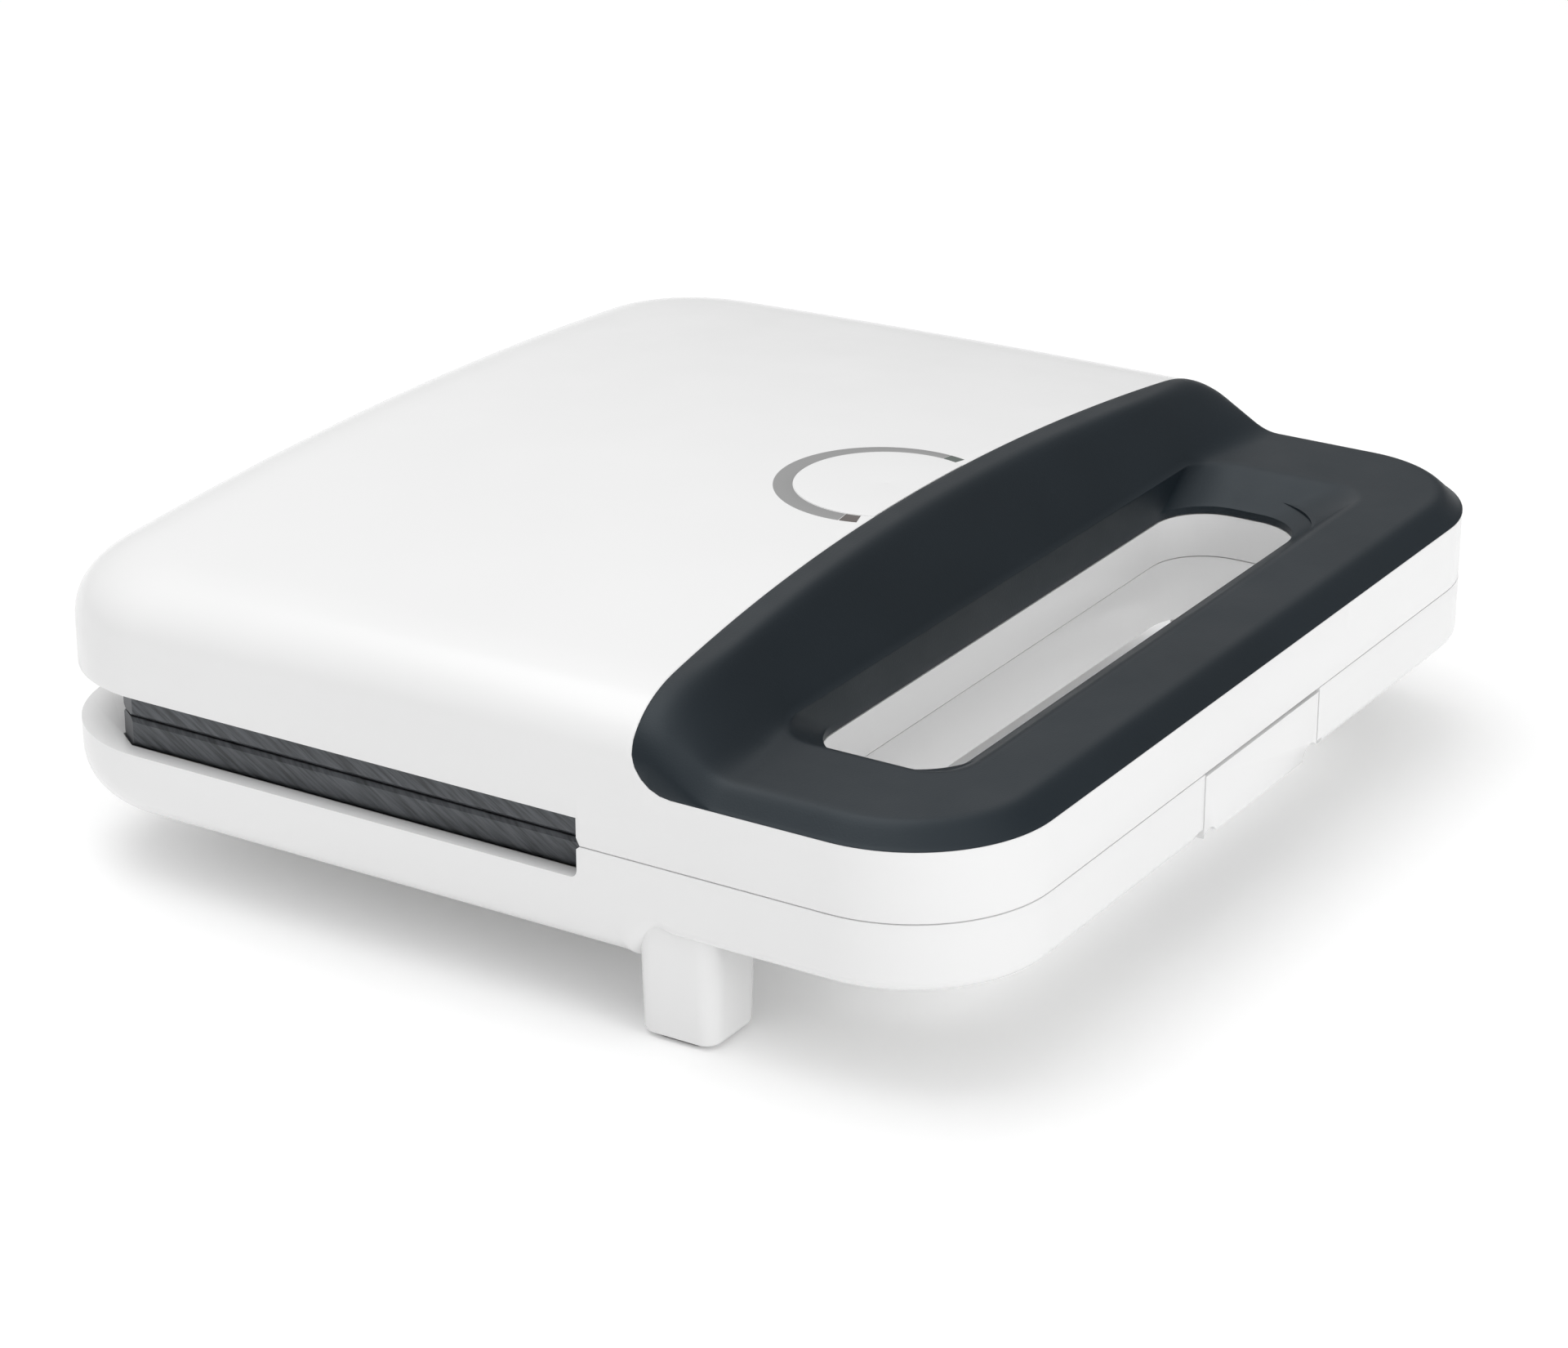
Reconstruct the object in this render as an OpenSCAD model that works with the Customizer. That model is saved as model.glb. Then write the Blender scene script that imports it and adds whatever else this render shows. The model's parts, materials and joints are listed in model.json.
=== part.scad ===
// Donut maker: hinged two-part body, donut mould plates, dark handle bezel
// with a hand slot, and a pivoting front latch. Millimetres.
// Origin: centre of the footprint on the floor. X right, Y to the hinge, Z up.

/* [Body] */
// overall width
body_w = 230; // [200:1:260]
// front face of the handle
front_y = -110; // [-125:1:-95]
// rear face of the shells
rear_y = 107; // [95:1:125]
// plan corner radius
corner_r = 29; // [20:1:36]
// shell wall thickness
wall = 2.5; // [1.6:0.1:4]

/* [Heights] */
// underside of the rear tub
tub_z = 12.6; // [8:0.2:16]
// underside of the handle part of the base
step_z = 22; // [18:0.5:26]
// top edge of the base along the plate gap
rim_z = 29.4; // [27:0.2:31]
// plane where lid and base meet
part_z = 36; // [32:0.5:40]
// lower edge of the lid along the plate gap
lid_z = 41.6; // [40:0.2:45]
// lower edge of the handle bezel
skirt_z = 50; // [46:0.5:54]
// top of the lid
top_z = 70; // [66:0.5:76]

/* [Handle] */
// half length of the hand slot
slot_hx = 78; // [60:1:86]
// rear wall of the hand slot
slot_y1 = -52; // [-56:0.2:-46]
// front wall of the hand slot
slot_y0 = -82; // [-94:0.5:-78]
// corner radius of the hand slot
slot_r = 10; // [6:0.5:16]
// crest of the bezel at the middle of the lid
crest_y = -31.5; // [-36:0.5:-28]

/* [Plates] */
// half width of the mould plates
plate_hx = 110.8; // [100:0.2:112]
// rear edge of the mould plates
plate_y1 = 86.5; // [84:0.5:88]
// mould column pitch
col_pitch = 70; // [62:1:72]
// mould row pitch
row_pitch = 55.8; // [55.8:0.2:56.4]
// radius of the ring centre line
ring_r = 16.5; // [14:0.5:16.5]
// depth of a mould in each plate
mould_r = 9.5; // [8:0.5:9.5]

/* [Hinge and latch] */
// height of the hinge axis
hinge_z = 36; // [34:0.5:38]
// hinge barrel radius
barrel_r = 5.5; // [4:0.5:6]
// hinge pin radius
pin_r = 2; // [1.5:0.1:2.5]
// half width of the latch tab
latch_hx = 24.5; // [20:0.5:30]
// latch pivot height
latch_z = 28.5; // [27:0.5:30]
// latch pivot position along Y
latch_y = -103.5; // [-105:0.5:-100]

/* [Hidden] */
hx = body_w / 2;
hinge_y = rear_y + 3 - barrel_r;
gap_y = -27;
mid_y = 30;
low_face = part_z - 1;
up_face = part_z - 0.6;
rear_screw_y = 79;
arc_r = 900;
crown_r = 1130;
side_r = 14;
shoulder_z = 65.5;
rear_r = 17;
tub_r = 12;
gland_z = 23;

// rounded rectangle from exact squares and circles
module rr(x0, x1, y0, y1, r) {
  translate([x0 + r, y0]) square([x1 - x0 - 2 * r, y1 - y0]);
  translate([x0, y0 + r]) square([x1 - x0, y1 - y0 - 2 * r]);
  translate([x0 + r, y0 + r]) circle(r = r, $fn = 96);
  translate([x1 - r, y0 + r]) circle(r = r, $fn = 96);
  translate([x0 + r, y1 - r]) circle(r = r, $fn = 96);
  translate([x1 - r, y1 - r]) circle(r = r, $fn = 96);
}

// prism over a plan shape between two heights
module plan(z0, z1, i = 0) {
  translate([0, 0, z0])
    linear_extrude(z1 - z0)
      rr(-hx + i, hx - i, front_y + i, rear_y - i, corner_r - i);
}

// box by its two corners
module box(x0, x1, y0, y1, z0, z1) {
  translate([x0, y0, z0]) cube([x1 - x0, y1 - y0, z1 - z0]);
}

// rounded box standing along Z
module rbox(x0, x1, y0, y1, z0, z1, r) {
  translate([0, 0, z0]) linear_extrude(z1 - z0) rr(x0, x1, y0, y1, r);
}

// front-view shape (X, Z) carried along Y
module along_y(y0, y1) {
  translate([0, y1, 0]) rotate([90, 0, 0]) linear_extrude(y1 - y0) children();
}

// side-view shape (Y, Z) carried along X
module along_x(x0, x1) {
  translate([x0, 0, 0])
    rotate([90, 0, 90])
      linear_extrude(x1 - x0) children();
}

// upright cylinder
module post(x, y, z0, z1, r) {
  translate([x, y, z0]) cylinder(h = z1 - z0, r = r, $fn = 64);
}

// cylinder lying along X
module bar_x(x0, x1, y, z, r) {
  translate([x0, y, z]) rotate([0, 90, 0]) cylinder(h = x1 - x0, r = r, $fn = 64);
}

// cylinder lying along Y
module bar_y(x, y0, y1, z, r) {
  translate([x, y1, z]) rotate([90, 0, 0]) cylinder(h = y1 - y0, r = r, $fn = 64);
}

// mirrored pair about the YZ plane
module both() {
  children();
  mirror([1, 0, 0]) children();
}

// domed front view of the lid, inset by i
module lid_front(i) {
  rr(-hx + i, hx - i, 0, shoulder_z - i, side_r - i);
  intersection() {
    translate([0, top_z - crown_r]) circle(r = crown_r - i, $fn = 720);
    translate([-hx + side_r, 20]) square([2 * hx - 2 * side_r, 60]);
  }
}

// outer or inset solid of the lid
module lid_block(z0, i) {
  intersection() {
    plan(z0, top_z + 2, i);
    along_y(front_y - 5, rear_y + 5) lid_front(i);
    along_x(-hx - 5, hx + 5) rr(-200, rear_y - i, 0, top_z + 2 - i, rear_r - i);
  }
}

// outer or inset solid of the rear tub
module tub_block(z1, i) {
  intersection() {
    plan(0, z1, i);
    along_y(-44 + i, rear_y + 5) rr(-hx + i, hx - i, tub_z + i, 90, tub_r - i);
    along_x(-hx - 5, hx + 5) rr(-44 + i, rear_y - i, tub_z + i, 90, tub_r - i);
  }
}

// handle part of the base, outer or inset
module nose_block(z0, z1, i) {
  intersection() {
    plan(z0, z1, i);
    along_x(-hx - 5, hx + 5) rr(front_y + i, gap_y - i, step_z, 60, 3);
    along_y(front_y - 5, 0) rr(-hx + i, hx - i, step_z, 60, 3);
  }
}

// space in front of the curved bezel edge
module front_of_crest(z0, z1, back = 0) {
  translate([0, crest_y - arc_r + back, z0]) cylinder(h = z1 - z0, r = arc_r, $fn = 720);
}

// ring shaped mould positions
module at_moulds() {
  for (i = [-1, 0, 1])
    for (j = [-0.5, 0.5])
      translate([i * col_pitch, mid_y + j * row_pitch, 0]) children();
}

// torus
module torus(r) {
  rotate_extrude($fn = 96) translate([ring_r, 0]) circle(r = r, $fn = 64);
}

// edge profile of a plate: rounded at the back, chamfered at the contact face
module plate_edge(a, b, t) {
  intersection() {
    rr(a, b, -t, 10, 2);
    polygon([[a, -t - 1], [b, -t - 1], [b, -0.7], [b - 0.7, 0], [a + 0.7, 0], [a, -0.7]]);
  }
}

// slab of a plate with clipped rear corners
module plate_slab(t) {
  intersection() {
    translate([0, 0, -t])
      linear_extrude(t)
        polygon([[-plate_hx, gap_y + 0.4], [plate_hx, gap_y + 0.4],
                 [plate_hx, plate_y1 - 5], [plate_hx - 3.4, plate_y1],
                 [-plate_hx + 3.4, plate_y1], [-plate_hx, plate_y1 - 5]]);
    along_y(-60, 120) plate_edge(-plate_hx, plate_hx, t);
    along_x(-120, 120) plate_edge(gap_y + 0.4, plate_y1, t);
  }
}

// mould plate with its contact face at z = 0, rings bulging towards -Z
module plate_body(t) {
  difference() {
    union() {
      plate_slab(t);
      intersection() {
        at_moulds() torus(mould_r + 1.8);
        box(-120, 120, -60, 120, -20, -1);
      }
    }
    at_moulds() torus(mould_r);
    for (x = [-101, 101])
      for (y = [-18, rear_screw_y])
        post(x, y, -t - 1, -2, 1.4);
  }
}

// hairpin heating element lying in the plane z = 0
module hairpin() {
  bar_x(-70, 96, mid_y - row_pitch / 2, 0, 3.2);
  bar_x(-70, 96, mid_y + row_pitch / 2, 0, 3.2);
  bar_y(-70, mid_y - row_pitch / 2, mid_y + row_pitch / 2, 0, 3.2);
  translate([-70, mid_y - row_pitch / 2, 0]) sphere(r = 3.2, $fn = 48);
  translate([-70, mid_y + row_pitch / 2, 0]) sphere(r = 3.2, $fn = 48);
  bar_x(96, 99.4, mid_y - row_pitch / 2, 0, 1.2);
  bar_x(96, 99.4, mid_y + row_pitch / 2, 0, 1.2);
}

// thin pan with a turned edge, floor at z = 0
module pan() {
  difference() {
    rbox(-99, 99, gap_y + 4, 88, 0, 3, 8);
    rbox(-98.2, 98.2, gap_y + 4.8, 87.2, 0.8, 4, 7.2);
  }
}

// opening in a rim that a plate sits in
module plate_hole(y0, z0) {
  rbox(-plate_hx - 0.4, plate_hx + 0.4, y0, plate_y1 + 0.4, z0, 60, 4);
  box(-plate_hx - 0.4, plate_hx + 0.4, y0, 0, z0, 60);
}

// four corner fixing points of a plate
module at_corners() {
  for (x = [-101, 101])
    for (y = [-18, rear_screw_y])
      translate([x, y, 0]) children();
}

// base shell: rear tub, handle part, front feet and hinge ears in one moulding
module base_shell() {
  color("white")
  difference() {
    union() {
      difference() {
        union() {
          tub_block(rim_z, 0);
          nose_block(step_z, part_z, 0);
        }
        // inside of the tub
        intersection() {
          tub_block(60, wall);
          box(-120, 120, gap_y, 120, 0, 60);
        }
        // plate opening down to the rim
        box(-120, 120, gap_y, 120, rim_z, 60);
        // inside of the handle part, open below
        difference() {
          nose_block(0, part_z - wall, wall);
          rbox(-slot_hx - wall, slot_hx + wall, slot_y0 - wall, slot_y1 + wall, 0, 60, 12);
          box(-120, 120, gap_y - wall, 120, 0, 60);
        }
        // recess for the handle cover
        rbox(-hx + wall, hx - wall, front_y + wall, -46, step_z - 1, step_z + 2, 26);
      }
      // front feet
      both() rbox(-hx + 0.6, -hx + 17.6, -56, -38.5, 0.6, 27, 4);
      // bosses for the plate spacers
      intersection() {
        at_corners() cylinder(h = 22, r = 4.2, $fn = 64);
        tub_block(60, 0.6);
      }
      // hinge ears
      both() {
        bar_x(44, 50, hinge_y, hinge_z, barrel_r);
        bar_x(64, 70, hinge_y, hinge_z, barrel_r);
        box(44, 50, hinge_y - barrel_r, rear_y, 24, hinge_z);
        box(64, 70, hinge_y - barrel_r, rear_y, 24, hinge_z);
      }
      // ribs that hold the latch pin
      both() box(26, 29, front_y + 1, slot_y0 - 1, step_z + 2.4, part_z - 1);
      // posts for the handle cover screws
      both() post(98, -96, step_z + 2.4, part_z - 1, 3.5);
      both() post(60, -40, step_z + 2.4, part_z - 1, 3.5);
    }
    // hand slot
    rbox(-slot_hx, slot_hx, slot_y0, slot_y1, -1, 60, slot_r);
    // floor opening
    rbox(-86, 86, -24, 88, 0, tub_z + 1.2, 6);
    rbox(-80, 80, -18, 82, 0, 20, 4);
    // latch window and hook slot
    box(-latch_hx - 0.4, latch_hx + 0.4, front_y - 1, front_y + 3.2, 0, part_z + 1);
    box(-11, 11, front_y + 1, latch_y + 5.5, part_z - 8, part_z + 1);
    // latch pin holes
    bar_x(-29.5, 29.5, latch_y, latch_z, 1.5);
    // hinge pin holes
    bar_x(-71, 71, hinge_y, hinge_z, pin_r);
    // foot pad recesses
    both() rbox(-hx + 3.1, -hx + 15.1, -53.5, -41, 0, 2, 3);
    // cord gland hole
    bar_y(0, rear_y - 8, rear_y + 5, gland_z, 5);
    bar_y(0, rear_y - 8, rear_y - 5.8, gland_z, 5.9);
    // screw holes
    at_corners() cylinder(h = 40, r = 1.6, $fn = 32);
    both() post(98, -96, 0, 32, 1.4);
    both() post(60, -40, 0, 32, 1.4);
    both() post(83, 78, 0, 20, 1.4);
    both() post(83, -14, 0, 20, 1.4);
  }
}

// base rim: flat deck around the lower plate, set between the tub walls
module base_rim() {
  color("white")
  difference() {
    intersection() {
      tub_block(60, wall);
      box(-120, 120, gap_y, 120, rim_z - 2.4, rim_z);
    }
    plate_hole(gap_y - 1, rim_z - 3);
    both() {
      box(44, 50, hinge_y - barrel_r, rear_y, 24, hinge_z);
      box(64, 70, hinge_y - barrel_r, rear_y, 24, hinge_z);
    }
    bar_y(0, rear_y - 8, rear_y + 5, gland_z, 5);
    bar_y(0, rear_y - 8, rear_y - 5.8, gland_z, 5.9);
  }
}

// removable floor plate of the tub
module base_bottom_cover() {
  color("whitesmoke")
  difference() {
    rbox(-85.8, 85.8, -23.8, 87.8, tub_z - 1.2, tub_z + 1.1, 6);
    both() post(83, 78, 0, 20, 1.6);
    both() post(83, -14, 0, 20, 1.6);
    for (y = [0 : 8 : 64])
      rbox(-30, 30, y - 1.5, y + 1.5, 0, 20, 1.4);
  }
}

// cover under the handle
module handle_under_cover() {
  color("whitesmoke")
  difference() {
    rbox(-hx + wall + 0.2, hx - wall - 0.2, front_y + wall + 0.2, -46.2, step_z, step_z + 1.8, 25.8);
    rbox(-slot_hx - wall - 0.2, slot_hx + wall + 0.2, slot_y0 - wall - 0.2, slot_y1 + wall + 0.2, 0, 60, 12.2);
    both() rbox(-hx, -hx + 18, -56.4, -38, 0, 60, 4.4);
    both() post(98, -96, 0, 32, 1.6);
    box(-latch_hx - 6, latch_hx + 6, front_y, slot_y0 - 5, 0, 60);
    box(-120, 120, -48.6, 0, 0, 60);
  }
}

// rear feet that the cord winds around
module rear_feet() {
  color("white")
  both() {
    rbox(44, 64, 74, 84, 0.6, tub_z - 1.3, 4);
    rbox(40, 68, 72, 86, 1, 3.5, 5);
  }
}

// rubber pads under the four feet
module foot_pads() {
  color("dimgray") {
    both() rbox(-hx + 3.3, -hx + 14.9, -53.3, -41.2, 0, 1.9, 2.8);
    both() rbox(46, 62, 76, 82, 0, 0.5, 2.8);
  }
}

// lower mould plate
module lower_plate() {
  color("dimgray")
    translate([0, 0, low_face]) plate_body(6.5);
}

// lower heating element
module lower_heater() {
  color("silver")
    translate([0, 0, low_face - mould_r - 1.8 - 3.4]) hairpin();
}

// straps that hold the lower element
module lower_heater_clamp() {
  color("lightgray")
  for (x = [-35, 35])
    for (y = [mid_y - row_pitch / 2, mid_y + row_pitch / 2])
      difference() {
        box(x - 4, x + 4, y - 6, y + 6, 16.6, 28.3);
        bar_x(x - 5, x + 5, y, low_face - mould_r - 1.8 - 3.4, 3.3);
      }
}

// lower heat reflector
module lower_reflector() {
  color("gainsboro")
    difference() {
      translate([0, 0, 15.4]) pan();
      both() post(83, 78, 0, 60, 4);
      both() post(83, -14, 0, 60, 4);
      at_corners() cylinder(h = 40, r = 5, $fn = 48);
    }
}

// insulating spacers between tub and lower plate
module lower_spacers() {
  color("tan")
  at_corners()
    translate([0, 0, 22.1])
      difference() {
        cylinder(h = 6.3, r = 4, $fn = 64);
        translate([0, 0, -1]) cylinder(h = 10, r = 1.7, $fn = 32);
      }
}

// screws of the lower plate
module lower_plate_screws() {
  color("silver")
  at_corners() {
    translate([0, 0, 13.2]) cylinder(h = 19.2, r = 1.4, $fn = 32);
  }
}

// bimetal thermostat under the lower plate
module thermostat() {
  color("dimgray") {
    post(35, mid_y, 21.5, 28.3, 7);
    box(25.5, 44.5, mid_y - 2.2, mid_y + 2.2, 20.3, 21.6);
  }
}

// thermal fuse in its saddle
module thermal_fuse() {
  color("silver") {
    bar_x(-42, -28, mid_y, 25.2, 2.6);
    box(-38, -32, mid_y - 4, mid_y + 4, 26.6, 28.3);
  }
}

// mains terminal block
module terminal_block() {
  color("ivory")
  difference() {
    box(101.5, 109.5, 44, 68, 19, 28);
    for (y = [48, 56, 64]) post(105.8, y, 23, 30, 2);
  }
}

// insulated wires in the base
module base_wires() {
  color("saddlebrown") {
    bar_x(2, 95.2, 98, 22.5, 1.3);
    bar_y(95.2, 71, 98, 22.5, 1.3);
    translate([95.2, 98, 22.5]) sphere(r = 1.3, $fn = 32);
    bar_x(95.2, 106, 71, 22.5, 1.3);
    translate([95.2, 71, 22.5]) sphere(r = 1.3, $fn = 32);
    bar_y(106, 68.2, 71, 22.5, 1.3);
    translate([106, 71, 22.5]) sphere(r = 1.3, $fn = 32);
  }
}

// cord gland in the rear wall, with its open socket
module cord_gland() {
  color("dimgray")
  difference() {
    union() {
      bar_y(0, rear_y - 7.5, rear_y + 2, gland_z, 4.8);
      bar_y(0, rear_y - 7.5, rear_y - 6, gland_z, 5.6);
    }
    bar_y(0, rear_y - 4, rear_y + 5, gland_z, 3);
  }
}

// screws of the two covers
module cover_screws() {
  color("silver") {
    both() {
      post(83, 78, tub_z - 1.2, 15.4, 1.3);
      post(83, 78, tub_z - 2, tub_z - 1.2, 2.6);
      post(83, -14, tub_z - 1.2, 15.4, 1.3);
      post(83, -14, tub_z - 2, tub_z - 1.2, 2.6);
      post(98, -96, step_z, 31, 1.3);
      post(98, -96, step_z - 0.8, step_z, 2.6);
    }
  }
}

// two steel hinge pins
module hinge_pins() {
  color("silver")
    both() bar_x(43.8, 70.2, hinge_y, hinge_z, pin_r - 0.03);
}

// steel pivot pin of the latch
module latch_pin() {
  color("silver")
    bar_x(-28.8, 28.8, latch_y, latch_z, 1.47);
}

// finger tab of the latch with its two lugs
module latch_tab() {
  color("white")
  difference() {
    union() {
      box(-latch_hx, latch_hx, front_y, front_y + 2.6, step_z + 0.2, part_z - 0.8);
      both() box(18, 22, front_y + 1, latch_y, latch_z - 3.2, latch_z + 3.2);
      both() bar_x(18, 22, latch_y, latch_z, 3.2);
    }
    bar_x(-30, 30, latch_y, latch_z, 1.55);
    // finger notches in the lower corners
    both() box(latch_hx - 5, latch_hx + 1, front_y - 1, front_y + 5, step_z - 1, step_z + 1.6);
  }
}

// hook arm of the latch
module latch_hook() {
  color("white")
  difference() {
    union() {
      bar_x(-9, 9, latch_y, latch_z, 3.2);
      box(-9, 9, latch_y - 1.2, latch_y + 1.3, latch_z, 45);
      box(-9, 9, front_y + 2.6, latch_y, latch_z - 2.4, latch_z + 2.4);
      along_x(-9, 9) polygon([[-105.3, 42.4], [-103, 42.4], [-103, 45], [-104.4, 45]]);
    }
    bar_x(-30, 30, latch_y, latch_z, 1.55);
  }
}

// lid shell: top, skirt around the hand slot, hinge knuckles
module lid_shell() {
  color("white")
  difference() {
    union() {
      difference() {
        lid_block(part_z, 0);
        // plate opening
        box(-120, 120, gap_y, 120, 0, lid_z);
        // chamber over the plates
        intersection() {
          lid_block(0, wall);
          box(-120, 120, gap_y - 0.4, 120, lid_z + 2.4, 90);
        }
        intersection() {
          plate_hole(gap_y - 0.4, 0);
          box(-120, 120, -40, 120, 0, lid_z + 3);
        }
        // channel around the hand slot
        difference() {
          intersection() {
            lid_block(0, wall);
            box(-120, 120, -120, gap_y - 0.4 - wall, 0, skirt_z - wall);
          }
          rbox(-slot_hx - 5, slot_hx + 5, slot_y0 - 5, slot_y1 + 5, 0, 60, 15);
        }
        // seat of the bezel
        front_of_crest(skirt_z, 90);
      }
      // bosses for the plate spacers
      intersection() {
        at_corners() translate([0, 0, 52]) cylinder(h = 20, r = 4, $fn = 64);
        lid_block(0, 0.6);
      }
      // ledge that the latch hook catches
      box(-14, 14, front_y + 1, front_y + 4.4, 38.6, 41.4);
      // hinge knuckles
      both() {
        bar_x(50.4, 63.6, hinge_y, hinge_z, barrel_r);
        box(50.4, 63.6, hinge_y - barrel_r, rear_y - 0.1, hinge_z, lid_z + 6);
      }
    }
    // hand slot, wider above for the bezel collar
    rbox(-slot_hx, slot_hx, slot_y0, slot_y1, 0, 60, slot_r);
    rbox(-slot_hx - 2.4, slot_hx + 2.4, slot_y0 - 2.4, slot_y1 + 2.4, 45.4, 60, slot_r + 2.4);
    // room for the base ears
    both() {
      bar_x(43.2, 50.4, hinge_y, hinge_z, barrel_r + 0.6);
      bar_x(63.6, 70.8, hinge_y, hinge_z, barrel_r + 0.6);
    }
    // running bore for the hinge pins
    bar_x(-71, 71, hinge_y, hinge_z, pin_r + 0.03);
    // seat of the badge and the lamp windows
    post(0, -23.5, top_z - 1.2, top_z + 2, 22.4);
    both() post(19.4, -25.5, 60, 90, 1.2);
    // pilot holes of the spacers and of the bezel screws
    at_corners() cylinder(h = 62, r = 1.2, $fn = 32);
    both() post(98, -96, 0, 60, 1.5);
    both() post(98, -46, 0, 60, 1.5);
  }
}

// dark bezel: handle loop, sloped bank up to the crest, collar in the slot
module handle_bezel() {
  color("darkslategray")
  difference() {
    union() {
      intersection() {
        lid_block(part_z, 0);
        front_of_crest(skirt_z, 90, -0.2);
        along_x(-hx - 5, hx + 5)
          polygon([[-111, 50], [-109.6, 50], [-105.4, 54.4], [-52.6, 54], [-49.4, 56.4],
                   [-42.4, 66], [-39.4, 68.6], [-30, 71], [-30, 50]]);
      }
      rbox(-slot_hx - 2.2, slot_hx + 2.2, slot_y0 - 2.2, slot_y1 + 2.2, 45.6, 53, slot_r + 2.2);
    }
    // side chamfers of the loop
    both()
      intersection() {
        along_y(-120, -45) polygon([[-hx - 1, 50], [-hx + 0.4, 50], [-hx + 4.8, 54.4], [-hx + 4.8, 80], [-hx - 1, 80]]);
        along_x(-hx - 5, hx + 5) polygon([[-120, 50], [-49, 50], [-49, 58], [-120, 58]]);
      }
    // hand slot
    rbox(-slot_hx, slot_hx, slot_y0, slot_y1, 0, 90, slot_r);
    // hollow under the bank
    intersection() {
      lid_block(0, wall);
      front_of_crest(0, 90, -wall - 0.2);
      along_x(-hx - 5, hx + 5)
        polygon([[-48.2, 49], [-48.2, 53.6], [-39.5, 64.2], [-36.8, 65.8], [-30, 68], [-30, 49]]);
    }
    // screw pilots
    both() post(98, -96, 0, 53, 1.2);
    both() post(98, -46, 0, 53, 1.2);
  }
}

// upper mould plate
module upper_plate() {
  color("dimgray")
    translate([0, 0, up_face]) mirror([0, 0, 1]) plate_body(6);
}

// upper heating element
module upper_heater() {
  color("silver")
    translate([0, 0, up_face + mould_r + 1.8 + 3.4]) hairpin();
}

// straps that hold the upper element
module upper_heater_clamp() {
  color("lightgray")
  for (x = [-35, 35])
    for (y = [mid_y - row_pitch / 2, mid_y + row_pitch / 2])
      difference() {
        box(x - 4, x + 4, y - 6, y + 6, 42.2, 55.4);
        bar_x(x - 5, x + 5, y, up_face + mould_r + 1.8 + 3.4, 3.3);
      }
}

// upper heat reflector
module upper_reflector() {
  color("gainsboro")
    translate([0, 0, 58.8]) mirror([0, 0, 1])
      difference() {
        pan();
        at_corners() translate([0, 0, -1]) cylinder(h = 10, r = 5, $fn = 48);
      }
}

// insulating spacers between lid and upper plate
module upper_spacers() {
  color("tan")
  at_corners()
    translate([0, 0, 41.5])
      difference() {
        cylinder(h = 10.4, r = 3.8, $fn = 64);
        translate([0, 0, -1]) cylinder(h = 14, r = 1.7, $fn = 32);
      }
}

// studs of the upper plate
module upper_plate_screws() {
  color("silver")
  at_corners()
    translate([0, 0, 39]) cylinder(h = 22, r = 1.1, $fn = 32);
}

// disc behind the bezel crest
module badge_disc() {
  color("white")
  intersection() {
    post(0, -24, top_z - 1, top_z + 0.2, 19);
    box(-40, 40, -31, 40, 0, 90);
  }
}

// crescent ring around the disc
module indicator_ring() {
  color("gray")
  difference() {
    intersection() {
      post(0, -23.5, top_z - 1, top_z + 0.1, 22.2);
      box(-40, 40, -31, 40, 0, 90);
    }
    post(0, -24, 60, 90, 19.2);
    both() box(17, 23, -31.5, -27.9, 60, 90);
  }
}

// red lens at one end of the ring
module power_lens() {
  color("darkred")
  intersection() {
    difference() {
      post(0, -23.5, top_z - 1, top_z + 0.1, 22.2);
      post(0, -24, 60, 90, 19.2);
    }
    box(-22.8, -17.2, -31, -28.1, 0, 90);
  }
}

// green lens at the other end of the ring
module ready_lens() {
  color("darkgreen")
  mirror([1, 0, 0])
  intersection() {
    difference() {
      post(0, -23.5, top_z - 1, top_z + 0.1, 22.2);
      post(0, -24, 60, 90, 19.2);
    }
    box(-22.8, -17.2, -31, -28.1, 0, 90);
  }
}

// bracket that carries the two lamps
module lamp_holder() {
  color("ivory")
  difference() {
    box(-25, 25, -26.8, -18, 59.4, 64.4);
    both() post(19.4, -22.5, 50, 70, 2.6);
  }
}

// two neon lamps
module neon_lamps() {
  color("orange")
  both() {
    post(19.4, -22.5, 59.6, 64.8, 2.4);
    translate([19.4, -22.5, 64.8]) sphere(r = 2.4, $fn = 32);
  }
}

// insulated wires in the lid
module lid_wires() {
  color("saddlebrown") {
    bar_y(19.4, -17.8, 90, 61, 1.2);
    translate([19.4, 90, 61]) sphere(r = 1.2, $fn = 32);
    bar_x(19.4, 96, 90, 61, 1.2);
    bar_x(-19.4, 19.4, -12, 61, 1.2);
  }
}

// screws that hold the bezel from below
module bezel_screws() {
  color("silver")
  both() {
    post(98, -96, 46.7, 52.8, 1.15);
    post(98, -96, 45.7, 46.8, 2.6);
    post(98, -46, 46.7, 52.8, 1.15);
    post(98, -46, 45.7, 46.8, 2.6);
  }
}

base_shell();
base_rim();
base_bottom_cover();
handle_under_cover();
rear_feet();
foot_pads();
lower_plate();
lower_heater();
lower_heater_clamp();
lower_reflector();
lower_spacers();
lower_plate_screws();
thermostat();
thermal_fuse();
terminal_block();
base_wires();
cord_gland();
cover_screws();
hinge_pins();
latch_pin();
latch_tab();
latch_hook();
lid_shell();
handle_bezel();
upper_plate();
upper_heater();
upper_heater_clamp();
upper_reflector();
upper_spacers();
upper_plate_screws();
badge_disc();
indicator_ring();
power_lens();
ready_lens();
lamp_holder();
neon_lamps();
lid_wires();
bezel_screws();
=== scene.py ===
import json
import math

import bmesh
import bpy
import numpy as np
from mathutils import Matrix, Vector


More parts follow.
